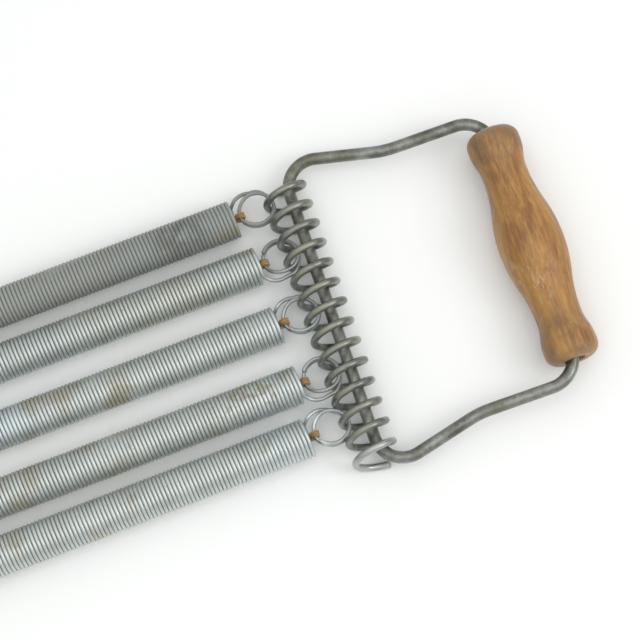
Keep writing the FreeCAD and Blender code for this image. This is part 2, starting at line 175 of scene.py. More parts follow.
class Shader:
    """A material with a Principled surface and short ways to add nodes to it."""

    def __init__(self, name):
        self.material = bpy.data.materials.new(name)
        self.material.use_nodes = True
        self.tree = self.material.node_tree
        self.surface = self.tree.nodes["Principled BSDF"]

    def fixed(self, **values):
        for name, value in values.items():
            self.surface.inputs[name.replace("_", " ")].default_value = value

    def node(self, kind, **settings):
        made = self.tree.nodes.new(kind)
        for name, value in settings.items():
            setattr(made, name, value)
        return made

    def node_fed(self, kind, **inputs):
        made = self.tree.nodes.new(kind)
        for name, value in inputs.items():
            self.feed(made.inputs[name], value)
        return made

    def feed(self, socket, value):
        """Links an output to a socket, or sets a plain value on it."""
        if isinstance(value, bpy.types.NodeSocket):
            self.tree.links.new(value, socket)
        else:
            socket.default_value = value

    def drive(self, name, value):
        self.feed(self.surface.inputs[name], value)

    def attribute(self, name):
        return self.node("ShaderNodeAttribute", attribute_name=name).outputs["Vector"]

    def place(self):
        """Where the point is on the resting object, in metres, whatever the pose."""
        return self.attribute("rest_place")

    def near(self, centre, reach):
        """1 at a place on the resting object, down to 0 at that reach along each axis, in metres."""
        offset = self.node("ShaderNodeVectorMath", operation="SUBTRACT")
        self.feed(offset.inputs[0], self.place())
        self.feed(offset.inputs[1], centre)
        distance = self.node("ShaderNodeVectorMath", operation="LENGTH")
        self.feed(distance.inputs[0], self.stretched(offset.outputs["Vector"], [1 / r for r in reach]))
        return self.between(distance.outputs["Value"], 1.0, 0.3)

    def split(self, vector):
        """The vector's three numbers."""
        return self.node_fed("ShaderNodeSeparateXYZ", Vector=vector).outputs

    def stretched(self, vector, factors):
        made = self.node("ShaderNodeVectorMath", operation="MULTIPLY")
        self.feed(made.inputs[0], vector)
        self.feed(made.inputs[1], factors)
        return made.outputs["Vector"]

    def noise(self, vector, scale, detail=3.0, roughness=0.55, distortion=0.0):
        made = self.node_fed(
            "ShaderNodeTexNoise",
            Vector=vector,
            Scale=scale,
            Detail=detail,
            Roughness=roughness,
            Distortion=distortion,
        )
        return made.outputs["Fac"]

    def math(self, operation, first, second=0.0, third=0.0):
        made = self.node("ShaderNodeMath", operation=operation)
        for socket, value in zip(made.inputs, (first, second, third)):
            self.feed(socket, value)
        return made.outputs["Value"]

    def between(self, value, low, high, out_low=0.0, out_high=1.0):
        """Smooth step of a value from low to high."""
        made = self.node("ShaderNodeMapRange", interpolation_type="SMOOTHSTEP")
        for name, number in (
            ("Value", value),
            ("From Min", low),
            ("From Max", high),
            ("To Min", out_low),
            ("To Max", out_high),
        ):
            self.feed(made.inputs[name], number)
        return made.outputs["Result"]

    def blended(self, share, first, second):
        """Mix of two colours, each a link or three numbers."""
        made = self.node("ShaderNodeMix", data_type="RGBA")
        self.feed(made.inputs["Factor"], share)
        for name, colour in (("A", first), ("B", second)):
            socket = next(s for s in made.inputs if s.name == name and s.type == "RGBA")
            self.feed(socket, (*colour, 1.0) if isinstance(colour, tuple) else colour)
        return next(s for s in made.outputs if s.type == "RGBA")

    def tinted(self, colour, mask, strength, tint):
        """The colour with that much of the tint in it where the mask is 1."""
        return self.blended(self.math("MULTIPLY", mask, strength), colour, tint)

    def raised(self, value, mask, amount):
        """The value with that amount more where the mask is 1."""
        return self.math("ADD", value, self.math("MULTIPLY", mask, amount))

    def bumped(self, height, depth, strength=1.0, below=None):
        """Surface relief of that depth in metres, on top of another relief if one is given."""
        made = self.node_fed("ShaderNodeBump", Height=height, Distance=depth, Strength=strength)
        if below is not None:
            self.feed(made.inputs["Normal"], below)
        return made.outputs["Normal"]


# ---------------------------------------------------------------- materials


# Colours are linear RGB. Places and reaches are in metres from the middle of the resting object.

ZINC_DARK, ZINC_BRIGHT = (0.465, 0.51, 0.515), (0.74, 0.81, 0.82)
# The last colour is a painted darker reflection on the end rings, standing in for the dark surroundings
# their glossy wire mirrors
ZINC_OLIVE, ZINC_DULL, ZINC_RING_DARK_REFLECTION = (0.42, 0.43, 0.36), (0.27, 0.285, 0.265), (0.26, 0.28, 0.28)
SMEAR, YELLOWED, TARNISH = (0.12, 0.12, 0.105), (0.52, 0.48, 0.33), (0.36, 0.28, 0.14)
# The second colour is dirt and painted shade, for where the wire faces into the coil and between the turns
SPRING_FLECK, TURN_DIRT_AND_SHADE = (0.20, 0.17, 0.12), (0.13, 0.13, 0.11)
# Along Y: the springs grow duller towards the first one, and that one is dull all over
DULLER_FROM, DULLER_TO = 0.0, 0.03
FIRST_SPRING_FROM, FIRST_SPRING_TO = 0.040, 0.042
# Along X, either way: where the coils end and the end rings start, which get a painted darker reflection
RINGS_FROM, RINGS_TO = 0.1655, 0.1690
# A dark smear near the right end of the first spring
SMEAR_PLACE, SMEAR_REACH = (0.133, 0.060, 0.012), (0.020, 0.014, 0.020)
# Tan blotches near the right end of the fourth spring
TANNED_PLACE, TANNED_REACH = (0.140, -0.021, 0.015), (0.030, 0.014, 0.014)


def spring_steel():
    """Zinc-grey wire with yellow-brown tarnish, dirt and painted shade between the turns, matt on the first
    spring.
    """
    shader = Shader("spring_steel")
    place = shader.place()
    outward = shader.split(shader.attribute("wire_place"))[0]
    along, across = shader.split(place)[0], shader.split(place)[1]
    first_spring = shader.between(across, FIRST_SPRING_FROM, FIRST_SPRING_TO)
    tarnish = shader.between(shader.noise(place, scale=38.0, detail=5.0, roughness=0.6), 0.54, 0.70)
    blotch = shader.between(shader.noise(place, scale=210.0, detail=4.0, roughness=0.6), 0.50, 0.60)
    tanned = shader.math("MULTIPLY", shader.near(TANNED_PLACE, TANNED_REACH), blotch)
    tarnish = shader.math("MAXIMUM", tarnish, tanned)
    cloud = shader.noise(place, scale=90.0, detail=4.0, roughness=0.6)
    fleck = shader.between(shader.noise(place, scale=900.0, detail=2.0, roughness=0.5), 0.62, 0.78)
    smear = shader.math("MULTIPLY", shader.near(SMEAR_PLACE, SMEAR_REACH), shader.between(cloud, 0.35, 0.55))
    yellowed = shader.between(shader.noise(place, scale=13.0, detail=2.0, roughness=0.5), 0.44, 0.56)
    olive = shader.between(across, DULLER_FROM, DULLER_TO, out_high=0.35)
    beyond_coil = shader.between(shader.math("ABSOLUTE", along), RINGS_FROM, RINGS_TO)
    # Dirt and painted shade: 1 where the wire faces into the coil, in the creases between the turns
    dirt_and_shade = shader.between(outward, 0.72, 0.05)

    colour = shader.blended(cloud, ZINC_DARK, ZINC_BRIGHT)
    colour = shader.blended(olive, colour, ZINC_OLIVE)
    colour = shader.tinted(colour, first_spring, 0.8, ZINC_DULL)
    colour = shader.tinted(colour, smear, 0.55, SMEAR)
    # Painted darker reflection on the end rings
    colour = shader.tinted(colour, beyond_coil, 0.6, ZINC_RING_DARK_REFLECTION)
    yellowing = shader.math("MULTIPLY_ADD", first_spring, -0.15, 0.2)
    colour = shader.tinted(colour, yellowed, yellowing, YELLOWED)
    colour = shader.tinted(colour, tarnish, 0.5, TARNISH)
    colour = shader.tinted(colour, fleck, 0.45, SPRING_FLECK)
    # Dirt and painted shade darken the wire between the turns
    colour = shader.tinted(colour, dirt_and_shade, 0.12, TURN_DIRT_AND_SHADE)
    shader.drive("Base Color", colour)
    shader.drive("Metallic", shader.math("MULTIPLY_ADD", first_spring, -0.45, 0.82))

    rough = shader.math("MULTIPLY_ADD", cloud, 0.24, 0.33)
    rough = shader.raised(rough, tarnish, 0.16)
    rough = shader.raised(rough, first_spring, 0.22)
    shader.drive("Roughness", shader.raised(rough, fleck, 0.15))
    draw_marks = shader.noise(place, scale=1400.0, detail=3.0, roughness=0.6)
    shader.drive("Normal", shader.bumped(draw_marks, 0.00004, 0.6))
    return shader.material


COIL_DARK, COIL_BRIGHT, COIL_FRESH = (0.155, 0.17, 0.15), (0.42, 0.45, 0.42), (0.48, 0.50, 0.49)
COIL_BROWN, COIL_SPOT = (0.20, 0.175, 0.095), (0.10, 0.09, 0.065)
# Height of the turns' tops, which are browned
TOPS_FROM, TOPS_TO = 0.014, 0.021
# Centimetres along the wire at which its last, less handled turn starts
LAST_TURN_FROM, LAST_TURN_TO = 78.5, 81.0


def coil_steel():
    """Dull galvanised wire, browner on top where it is handled, brighter in its last turn."""
    shader = Shader("coil_steel")
    place = shader.place()
    wire = shader.split(shader.attribute("wire_place"))
    height = shader.split(place)[2]
    mottle = shader.noise(place, scale=130.0, detail=5.0, roughness=0.62)
    streak = shader.noise(place, scale=420.0, detail=3.0, roughness=0.6)
    tops = shader.between(height, TOPS_FROM, TOPS_TO)
    brown = shader.math("MULTIPLY", tops, shader.between(mottle, 0.36, 0.62))
    spots = shader.between(streak, 0.60, 0.72)
    fresh = shader.between(wire[2], LAST_TURN_FROM, LAST_TURN_TO)

    colour = shader.blended(shader.between(mottle, 0.3, 0.7), COIL_DARK, COIL_BRIGHT)
    colour = shader.tinted(colour, brown, 0.55, COIL_BROWN)
    colour = shader.tinted(colour, spots, 0.5, COIL_SPOT)
    colour = shader.tinted(colour, fresh, 0.7, COIL_FRESH)
    shader.drive("Base Color", colour)
    shader.fixed(Metallic=0.8)
    rough = shader.math("MULTIPLY_ADD", mottle, 0.28, 0.20)
    shader.drive("Roughness", shader.raised(rough, spots, 0.12))
    relief = shader.bumped(mottle, 0.0002, 0.5)
    shader.drive("Normal", shader.bumped(streak, 0.00008, 0.6, relief))
    return shader.material


ROD_DARK, ROD_BRIGHT, ROD_SCRATCH = (0.105, 0.11, 0.09), (0.32, 0.335, 0.30), (0.42, 0.41, 0.37)
ROD_GRIME, ROD_SPECK = (0.15, 0.13, 0.08), (0.055, 0.05, 0.04)


def bow_steel():
    """Olive-grey tarnished rod, mottled, with fine scratches along it."""
    shader = Shader("bow_steel")
    place = shader.place()
    wire = shader.split(shader.attribute("wire_place"))
    mottle = shader.noise(place, scale=95.0, detail=6.0, roughness=0.65)
    grime = shader.between(shader.noise(place, scale=33.0, detail=4.0, roughness=0.6), 0.50, 0.66)
    speck = shader.between(shader.noise(place, scale=800.0, detail=3.0, roughness=0.6), 0.61, 0.72)
    around = shader.node_fed("ShaderNodeCombineXYZ", X=wire[1], Y=0.0, Z=wire[2]).outputs["Vector"]
    along_rod = shader.stretched(around, (3.5, 1.0, 0.06))
    scratch = shader.between(shader.noise(along_rod, scale=1.0, detail=4.0, roughness=0.7), 0.60, 0.68)

    colour = shader.blended(shader.between(mottle, 0.3, 0.7), ROD_DARK, ROD_BRIGHT)
    colour = shader.tinted(colour, grime, 0.45, ROD_GRIME)
    colour = shader.tinted(colour, speck, 0.6, ROD_SPECK)
    colour = shader.tinted(colour, scratch, 0.35, ROD_SCRATCH)
    shader.drive("Base Color", colour)
    shader.fixed(Metallic=0.8)
    rough = shader.math("MULTIPLY_ADD", mottle, 0.28, 0.20)
    shader.drive("Roughness", shader.raised(rough, grime, 0.14))
    relief = shader.bumped(mottle, 0.00025, 0.5)
    shader.drive("Normal", shader.bumped(speck, 0.00006, 0.7, relief))
    return shader.material


WOOD_DARK, WOOD_RED, WOOD_LIGHT = (0.205, 0.082, 0.018), (0.40, 0.195, 0.040), (0.52, 0.285, 0.075)
WOOD_PORE, WOOD_DULL = (0.095, 0.050, 0.022), (0.16, 0.10, 0.055)
WOOD_SCUFF, WOOD_END = (0.56, 0.44, 0.31), (0.30, 0.185, 0.085)
# Along the grip from its middle: the flares are duller
FLARES_FROM, FLARES_TO = 0.028, 0.048
# Pale scuffs on the top of the right grip
SCUFF_PLACE, SCUFF_REACH = (0.279, -0.018, 0.029), (0.007, 0.019, 0.012)


def grip_wood():
    """Turned hardwood under worn varnish: soft grain along the grip, darker flares, scuffs on the belly."""
    shader = Shader("grip_wood")
    place = shader.place()
    wood = shader.split(shader.attribute("wood_place"))
    from_middle, end_face = wood[1], wood[2]
    bands = shader.stretched(place, (120.0, 30.0, 120.0))
    band = shader.noise(bands, scale=1.0, detail=5.0, roughness=0.6, distortion=0.3)
    streaks = shader.stretched(place, (620.0, 70.0, 620.0))
    streak = shader.noise(streaks, scale=1.0, detail=4.0, roughness=0.65, distortion=0.2)
    fibres = shader.stretched(place, (1500.0, 190.0, 1500.0))
    pore = shader.between(shader.noise(fibres, scale=1.0, detail=3.0, roughness=0.65), 0.56, 0.72)
    cloud = shader.noise(place, scale=75.0, detail=4.0, roughness=0.6)
    flares = shader.between(from_middle, FLARES_FROM, FLARES_TO)
    dull = shader.math("MULTIPLY", flares, shader.between(cloud, 0.35, 0.62))
    rubs = shader.stretched(place, (420.0, 150.0, 420.0))
    rub = shader.noise(rubs, scale=1.0, detail=5.0, roughness=0.75)
    scuffed = shader.between(shader.noise(place, scale=44.0, detail=2.0, roughness=0.5), 0.52, 0.66)
    scuffed = shader.math("MAXIMUM", scuffed, shader.near(SCUFF_PLACE, SCUFF_REACH))
    scuff = shader.math("MULTIPLY", shader.between(rub, 0.52, 0.60), scuffed)

    colour = shader.blended(shader.between(band, 0.30, 0.68), WOOD_DARK, WOOD_RED)
    colour = shader.blended(shader.between(streak, 0.38, 0.70, out_high=0.6), colour, WOOD_LIGHT)
    colour = shader.tinted(colour, pore, 0.42, WOOD_PORE)
    colour = shader.tinted(colour, dull, 0.7, WOOD_DULL)
    colour = shader.tinted(colour, scuff, 0.6, WOOD_SCUFF)
    colour = shader.tinted(colour, end_face, 0.45, WOOD_END)
    shader.drive("Base Color", colour)
    shader.fixed(Coat_Roughness=0.3, IOR=1.5)
    rough = shader.math("MULTIPLY_ADD", rub, 0.3, 0.36)
    shader.drive("Roughness", shader.raised(rough, scuff, 0.25))
    shader.drive("Coat Weight", shader.math("MULTIPLY_ADD", scuff, -0.28, 0.28))
    relief = shader.bumped(streak, 0.00012, 0.5)
    relief = shader.bumped(shader.math("SUBTRACT", 1.0, pore), 0.00008, 0.5, relief)
    shader.drive("Normal", shader.bumped(rub, 0.00012, 0.4, relief))
    return shader.material


CORD_DARK, CORD_TAN = (0.28, 0.155, 0.055), (0.54, 0.34, 0.13)
# The first colour is painted shade for the creases between the strands
CORD_GROOVE_SHADE, CORD_FIBRE = (0.11, 0.055, 0.02), (0.58, 0.40, 0.20)
CORD_STRANDS = 3.0
# Radians that the strands twist in each centimetre of cord
CORD_TWIST = 2.2


def cord_fibre():
    """Tan twisted cord: three strands, fine fibres, painted shade in the creases between the strands."""
    shader = Shader("cord_fibre")
    wire = shader.split(shader.attribute("wire_place"))
    place = shader.place()
    twist = shader.math("MULTIPLY_ADD", wire[2], CORD_TWIST, wire[1])
    wave = shader.math("SINE", shader.math("MULTIPLY", twist, CORD_STRANDS))
    strand = shader.math("MULTIPLY_ADD", wave, 0.5, 0.5)
    fibre = shader.noise(place, scale=2600.0, detail=3.0, roughness=0.7)
    stain = shader.noise(place, scale=150.0, detail=4.0, roughness=0.6)
    # Painted shade: 1 in the creases between the strands
    groove_shade = shader.between(strand, 0.42, 0.05)

    colour = shader.blended(stain, CORD_DARK, CORD_TAN)
    colour = shader.tinted(colour, groove_shade, 0.7, CORD_GROOVE_SHADE)
    colour = shader.tinted(colour, fibre, 0.25, CORD_FIBRE)
    shader.drive("Base Color", colour)
    shader.fixed(Roughness=0.92, Sheen_Weight=0.25, Sheen_Roughness=0.5)
    relief = shader.bumped(strand, 0.0003, 0.8)
    shader.drive("Normal", shader.bumped(fibre, 0.0001, 0.6, relief))
    return shader.material


# ---------------------------------------------------------------- mesh building

# Steps in which the edge of a cut end is rounded, and the edges that are shaded as sharp
ROUND_STEPS = np.radians((90, 60, 30, 0))
SHARP_EDGE = math.radians(40)


def unit(vectors):
    return vectors / np.linalg.norm(vectors, axis=-1, keepdims=True)


def carried_sideways(ahead):
    """A direction square to the line at each of its points, carried along with no twist of its own."""
    side = np.empty_like(ahead)
    least = np.eye(3)[np.argmin(np.abs(ahead[0]))]
    current = unit(np.cross(ahead[0], least))
    for index, direction in enumerate(ahead):
        current = current - direction * (current @ direction)
        current = current / math.sqrt(current @ current)
        side[index] = current
    return side


def smooth_line(points, steps):
    """Catmull-Rom curve through the points, that many steps from each to the next."""
    points = np.asarray(points, float)
    padded = np.vstack((2 * points[0] - points[1], points, 2 * points[-1] - points[-2]))
    line = []
    for before, start, end, after in zip(padded, padded[1:], padded[2:], padded[3:]):
        for share in np.arange(steps) / steps:
            pull = (end - before) * share
            bend = (2 * before - 5 * start + 4 * end - after) * share**2
            ease = (3 * start - before - 3 * end + after) * share**3
            line.append(start + (pull + bend + ease) / 2)
    line.append(points[-1])
    return np.array(line)


def arc_points(centre, radius, first, last, spacing):
    """Points of a flat arc from first to last, in degrees, without its last one."""
    count = max(2, math.ceil(abs(math.radians(last - first)) * radius / spacing))
    angles = np.radians(np.linspace(first, last, count, endpoint=False))
    return np.column_stack((centre[0] + radius * np.cos(angles), centre[1] + radius * np.sin(angles)))


def straight_points(start, end, spacing):
    """Points of a flat straight run, without its last one."""
    count = max(1, round(math.dist(start, end) / spacing))
    return np.linspace(start, end, count, endpoint=False)


def add_attribute(mesh, name, values):
    """Three numbers for each point of the mesh."""
    made = mesh.attributes.new(name, "FLOAT_VECTOR", "POINT")
    made.data.foreach_set("vector", np.ascontiguousarray(values, np.float32).ravel())


def finished_piece(name, vertices_mm, faces, material, **attributes):
    """A smooth-shaded piece in metres that remembers where its points rest."""
    vertices = np.asarray(vertices_mm) * MM
    mesh = bpy.data.meshes.new(name)
    mesh.from_pydata(vertices.tolist(), [], faces)
    mesh.polygons.foreach_set("use_smooth", [True] * len(mesh.polygons))
    mesh.set_sharp_from_angle(angle=SHARP_EDGE)
    add_attribute(mesh, "rest_place", vertices)
    for attribute, values in attributes.items():
        add_attribute(mesh, attribute, values)
    mesh.materials.append(material)
    piece = bpy.data.objects.new(name, mesh)
    bpy.context.scene.collection.objects.link(piece)
    return piece


def with_rounded_ends(line, radii, rounding):
    """The line and its radii, with sections added that round the edges of the two cut faces."""
    inset = rounding * (1 - np.sin(ROUND_STEPS))
    drop = rounding * (1 - np.cos(ROUND_STEPS))
    head = line[0] + np.outer(inset, unit(line[1] - line[0]))
    tail = line[-1] + np.outer(inset, unit(line[-2] - line[-1]))
    whole = np.vstack((head, line[1:-1], tail[::-1]))
    return whole, np.concatenate((radii[0] - drop, radii[1:-1], (radii[-1] - drop)[::-1]))


def swept(name, line, radius, sides, material, rounding=0.3, axis=None):
    """Round wire along a line in mm.

    Its wire_place attribute holds how squarely a point faces away from the axis of the coil that it
    is in, or 1 where axis is None or the wire has left the coil; its angle round the wire; and how
    far along the wire it is, in centimetres.
    """
    radii = np.broadcast_to(np.asarray(radius, float), len(line))
    line, radii = with_rounded_ends(np.asarray(line, float), radii, rounding)
    ahead = unit(np.gradient(line, axis=0))
    side = carried_sideways(ahead)
    other = np.cross(ahead, side)
    turn = np.linspace(0, 2 * math.pi, sides, endpoint=False)
    spokes = np.cos(turn)[None, :, None] * side[:, None] + np.sin(turn)[None, :, None] * other[:, None]
    vertices = (line[:, None] + radii[:, None, None] * spokes).reshape(-1, 3)

    index = np.arange(len(vertices)).reshape(len(line), sides)
    after = np.roll(index, -1, axis=1)
    quads = np.stack((index[:-1], after[:-1], after[1:], index[1:]), axis=-1).reshape(-1, 4)
    faces = quads.tolist() + [index[0, ::-1].tolist(), index[-1].tolist()]

    steps = np.linalg.norm(np.diff(line, axis=0), axis=1)
    along = np.repeat(np.concatenate(((0,), np.cumsum(steps))) / 10, sides)
    outward = np.ones(len(vertices))
    if axis is not None:
        middle, direction, half_length = axis
        offset = line - middle
        reach = offset @ direction
        away = unit(offset - np.outer(reach, direction) + 1e-9)
        inside = np.abs(reach) < half_length
        facing = np.einsum("ijk,ik->ij", spokes, away)
        outward = np.where(inside[:, None], facing, 1.0).ravel()
    place = np.column_stack((outward, np.tile(turn, len(line)), along))
    return finished_piece(name, vertices, faces, material, wire_place=place)


def on_side(line, side):
    """A line of the right side, or the same line of the left side."""
    return line if side == "right" else line * HALF_TURN


def stands_for(piece, node, body):
    """The drawn piece takes the place of a CAD node, and rides on a body unless it stretches between two."""
    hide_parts(node)
    if body is not None:
        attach(piece, body)


# ---------------------------------------------------------------- bow

ROD_DIAMETER = 5.7
CORNER_RADIUS, CORNER_HEIGHT = 13.3, 60.8
SIDE_SLOPE = 13.9
WAIST_RADIUS, WAIST_HALF = 45.0, 65.9
GRIP_BEND = 14.0
ROD_GAP = 1.0
ROD_SIDES = 28
# Millimetres from point to point, along straight runs, round the bends and round the wide waist
RUN_SPACING, BEND_SPACING, WAIST_SPACING = 3.0, 1.0, 2.0


def half_bow():
    """Half of the rod's line in the bow's plane: towards the grip, then along the bar, from the bar on."""
    reach = np.linalg.norm(GRIP - BAR)
    slope = math.radians(SIDE_SLOPE)
    corner = np.array((CORNER_RADIUS, CORNER_HEIGHT))
    leave = corner + CORNER_RADIUS * np.array((math.sin(slope), math.cos(slope)))
    waist_x = leave[0] + (leave[1] - WAIST_HALF) / math.tan(slope)
    tangent = WAIST_RADIUS * math.tan(slope / 2)
    waist_start = (waist_x - tangent * math.cos(slope), WAIST_HALF + tangent * math.sin(slope))
    waist_end = (waist_x + tangent, WAIST_HALF)
    waist_centre = (waist_x + tangent, WAIST_HALF + WAIST_RADIUS)
    bend_start = (reach - GRIP_BEND, WAIST_HALF)
    bend_centre = (reach - GRIP_BEND, WAIST_HALF - GRIP_BEND)
    bend_end = (reach, WAIST_HALF - GRIP_BEND)
    middle = (reach, ROD_GAP / 2)
    return np.vstack(
        (
            straight_points((0, 0), (0, CORNER_HEIGHT), RUN_SPACING),
            arc_points(corner, CORNER_RADIUS, 180, 90 - SIDE_SLOPE, BEND_SPACING),
            straight_points(leave, waist_start, RUN_SPACING),
            arc_points(waist_centre, WAIST_RADIUS, 270 - SIDE_SLOPE, 270, WAIST_SPACING),
            straight_points(waist_end, bend_start, RUN_SPACING),
            arc_points(bend_centre, GRIP_BEND, 90, 0, BEND_SPACING),
            straight_points(bend_end, middle, RUN_SPACING),
            [middle],
        )
    )


def bow_line():
    """The whole rod, in place: from the middle of the right grip round the bar and back to it."""
    half = half_bow()
    flat = np.vstack(((half * (1, -1))[:0:-1], half))
    towards_grip = unit(GRIP - BAR)
    return BAR + np.outer(flat[:, 0], towards_grip) + np.outer(flat[:, 1], (0, 1, 0))


def make_bows(material):
    for side in SIDES:
        line = on_side(bow_line(), side)
        piece = swept(f"{side}_bow_rod", line, ROD_DIAMETER / 2, ROD_SIDES, material)
        stands_for(piece, f"{side}_bow", f"{side}_handle")


# ---------------------------------------------------------------- grip

GRIP_HALF = 57.5
BELLY_RADIUS = 15.2
NECK_RADIUS, NECK_PLACE = 10.55, 36.0
FLARE_RADIUS, FLARE_PLACE = 12.6, 50.0
END_ROUNDING = 5.5
BORE_RADIUS = 2.93
MOUTH_RADIUS, MOUTH_DEPTH = 4.8, 6.5
MOUTH_EDGE = 0.5
GRIP_SEGMENTS = 96
# Millimetres from point to point of the outline
BORE_SPACING, MOUTH_SPACING, MOUTH_EDGE_SPACING = 4.0, 1.5, 0.2
END_SPACING, FLARE_SPACING, BELLY_SPACING = 0.7, 0.9, 1.2


def grip_outline():
    """Outline of the right half of the grip: along it, then out from its axis, from bore to belly."""
    belly_rise = BELLY_RADIUS - NECK_RADIUS
    belly_arc = (NECK_PLACE**2 + belly_rise**2) / (4 * belly_rise)
    belly_turn = math.degrees(math.asin(NECK_PLACE / 2 / belly_arc))
    flare_run, flare_rise = FLARE_PLACE - NECK_PLACE, FLARE_RADIUS - NECK_RADIUS
    flare_arc = (flare_run**2 + flare_rise**2) / (4 * flare_rise)
    flare_turn = math.degrees(math.asin(flare_run / 2 / flare_arc))
    bore_end = (GRIP_HALF - MOUTH_DEPTH, BORE_RADIUS)
    mouth_centre = (GRIP_HALF - MOUTH_EDGE, MOUTH_RADIUS + MOUTH_EDGE)
    end_centre = (GRIP_HALF - END_ROUNDING, FLARE_RADIUS - END_ROUNDING)
    flare_centre = (FLARE_PLACE, FLARE_RADIUS - flare_arc)
    flare_side_neck = (NECK_PLACE, NECK_RADIUS + flare_arc)
    belly_side_neck = (NECK_PLACE, NECK_RADIUS + belly_arc)
    belly_centre = (0, BELLY_RADIUS - belly_arc)
    return np.vstack(
        (
            straight_points((0, BORE_RADIUS), bore_end, BORE_SPACING),
            straight_points(bore_end, (mouth_centre[0], MOUTH_RADIUS), MOUTH_SPACING),
            arc_points(mouth_centre, MOUTH_EDGE, 270, 360, MOUTH_EDGE_SPACING),
            straight_points((GRIP_HALF, mouth_centre[1]), (GRIP_HALF, end_centre[1]), END_SPACING),
            arc_points(end_centre, END_ROUNDING, 0, 90, END_SPACING),
            arc_points(flare_centre, flare_arc, 90, 90 + flare_turn, FLARE_SPACING),
            arc_points(flare_side_neck, flare_arc, 270 + flare_turn, 270, FLARE_SPACING),
            arc_points(belly_side_neck, belly_arc, 270, 270 - belly_turn, BELLY_SPACING),
            arc_points(belly_centre, belly_arc, 90 - belly_turn, 90, BELLY_SPACING),
            [(0, BELLY_RADIUS)],
        )
    )


def make_grip(side, material):
    """Turned grip with its bore.

    Its wood_place attribute holds how far a point is from the grip's axis and along it from its middle,
    in metres, and 1 on the end faces.
    """
    half = grip_outline()
    outline = np.vstack((half, (half * (-1, 1))[-2:0:-1]))
    turn = np.linspace(0, 2 * math.pi, GRIP_SEGMENTS, endpoint=False)
    out, along = outline[:, 1], outline[:, 0]
    rings = np.empty((len(outline), GRIP_SEGMENTS, 3))
    rings[..., 0] = GRIP[0] + np.outer(out, np.cos(turn))
    rings[..., 1] = GRIP[1] + along[:, None]
    rings[..., 2] = GRIP[2] + np.outer(out, np.sin(turn))
    vertices = on_side(rings.reshape(-1, 3), side)
    index = np.arange(len(vertices)).reshape(len(outline), GRIP_SEGMENTS)
    across = np.roll(index, -1, axis=1)
    onward = np.roll(index, -1, axis=0)
    corner = np.roll(across, -1, axis=0)
    faces = np.stack((index, across, corner, onward), axis=-1).reshape(-1, 4).tolist()
    slope = unit(np.roll(outline, -1, axis=0) - np.roll(outline, 1, axis=0))
    end_facing = np.abs(slope[:, 1]) * (np.abs(along) > GRIP_HALF - END_ROUNDING)
    wood = np.column_stack((out * MM, np.abs(along) * MM, end_facing))
    wood = np.repeat(wood, GRIP_SEGMENTS, axis=0)
    piece = finished_piece(f"{side}_wood_grip", vertices, faces, material, wood_place=wood)
    stands_for(piece, f"{side}_grip", f"{side}_handgrip")


# ---------------------------------------------------------------- anchor coil

ANCHOR_WIRE, ANCHOR_RADIUS, ANCHOR_PITCH = 3.4, 9.6, 9.86
ANCHOR_OFFSET = 2.45
ANCHOR_FIRST = 62.9
# Degrees of wire before the first turn's side and after the last whole turn
ANCHOR_LEAD, ANCHOR_TAIL, ANCHOR_TURNS = 110.0, 309.0, 13
ANCHOR_SIDES = 20
POINTS_PER_TURN = 48


def anchor_line():
    """Open coil round the bar: its turns are counted from the grip's side, and it runs towards -Y."""
    degrees = np.arange(-ANCHOR_LEAD, ANCHOR_TURNS * 360 + ANCHOR_TAIL, 360 / POINTS_PER_TURN)
    turn = np.radians(degrees)
    return np.column_stack(
        (
            BAR[0] - ANCHOR_OFFSET + ANCHOR_RADIUS * np.cos(turn),
            BAR[1] + ANCHOR_FIRST - ANCHOR_PITCH * degrees / 360,
            ANCHOR_RADIUS + ANCHOR_WIRE / 2 + ANCHOR_RADIUS * np.sin(turn),
        )
    )


def make_anchors(material):
    for side in SIDES:
        line = on_side(anchor_line(), side)
        piece = swept(f"{side}_anchor_wire", line, ANCHOR_WIRE / 2, ANCHOR_SIDES, material)
        stands_for(piece, f"{side}_anchor_coil", f"{side}_anchor")


# ---------------------------------------------------------------- springs

SPRING_WIRE, SPRING_OUTER = 1.85, 18.3
TURN_RADIUS = (SPRING_OUTER - SPRING_WIRE) / 2
INNER_COIL, OUTER_COIL = 329.3, 322.5
RING_RADIUS, RING_OFFSET, RING_ROLL = 8.2, 10.0, -12.0
SPRING_HEIGHT = 9.2
SPRING_SIDES = 10
POINTS_PER_SPRING_TURN = 30
# Taken off the wire's radius, so that turns that touch don't cut into each other
TURN_CLEARANCE = 0.02
# Where each spring's right ring sits along the right bar; the left rings sit in the reverse order
RING_PLACES = (58.2, 33.0, 3.4, -26.2, -50.7)
OUTER_SPRINGS = (1, 5)
# These lie rolled by half a turn, so their wire leaves the coil on the other side
ROLLED_SPRINGS = (2, 4)
SPRING_NUMBERS = range(1, len(RING_PLACES) + 1)
# Degrees before the side of the coil at which the wire starts to bend out of it
COIL_EXIT = 24.0
# From there back along the coil to the point before: degrees, and millimetres along the axis
EXIT_BACK_TURN, EXIT_BACK = 12.0, 0.06
# The wire's way out to the ring: past the coil's end, further out than the turns, and height
RING_LEAD = ((0.5, 0.2, -1.5), (1.9, 1.1, -0.3), (4.2, 2.1, 0.1), (7.0, 2.5, 0.15))
# The end ring is wound twice. Its first pass starts outside the second, and comes in over these degrees.
# The fifth spring's comes in sooner, because a strand of the right anchor coil stands close by. The first
# spring's left ring hooks on in the matching place and comes in late, so it cuts into the strand there.
OUTER_PASS = RING_RADIUS + 2.1
COMES_IN = {number: (102.0, 56.0) if number == 5 else (82.0, 18.0) for number in SPRING_NUMBERS}
# Past the knot the wire climbs onto the first pass and lies on it to its cut end
CLIMB_FROM, CLIMB_TO = -192.0, -268.0
RING_CLIMB = 1.87
RING_START, RING_STEP, RING_END = 92.0, 10.0, -508.0
